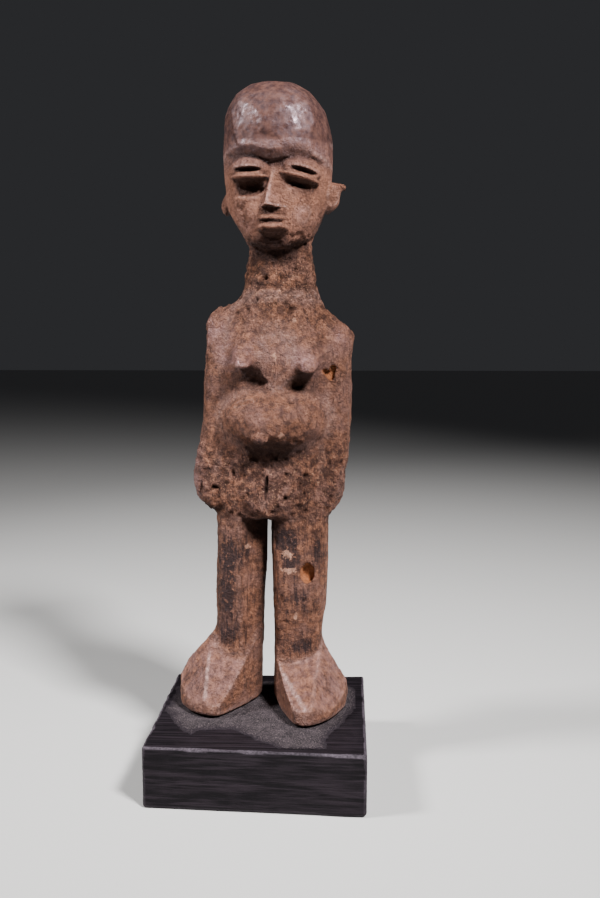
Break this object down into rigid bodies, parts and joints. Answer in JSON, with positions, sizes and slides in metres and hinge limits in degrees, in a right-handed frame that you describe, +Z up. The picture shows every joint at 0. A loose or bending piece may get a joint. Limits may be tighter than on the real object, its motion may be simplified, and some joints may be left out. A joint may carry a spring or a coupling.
{
  "type": "carved fertility figure on a plinth",
  "caption": "Carved wooden standing female figure with arms along its sides and broad feet, held by a steel pin in each foot on a square black painted plinth.",
  "frame": {"origin": "centre of the plinth's underside", "axes": "+Z up along the figure, -Y the way the figure faces, +X to the viewer's right"},
  "size_m": [0.07, 0.0723, 0.2288],
  "materials": {
    "encrusted_wood": "old carved hardwood with a grey-brown crust, polished on the high spots",
    "black_paint": "softwood block under thin matte black paint, grain showing, worn on the edges",
    "gritty_filler": "thin grey mounting compound with grit in it",
    "pin_steel": "plain drawn steel rod"
  },
  "bodies": {
    "mount": {"plinth": "black_paint", "bedding_filler": "gritty_filler", "left_foot_pin": "pin_steel", "right_foot_pin": "pin_steel"},
    "figure": {"carved_figure": "encrusted_wood"}
  },
  "joints": [
    {"name": "figure_lift", "type": "slide", "parent": "mount", "child": "figure", "axis": [0, 0, 1], "range_m": [0, 0.026]}
  ]
}
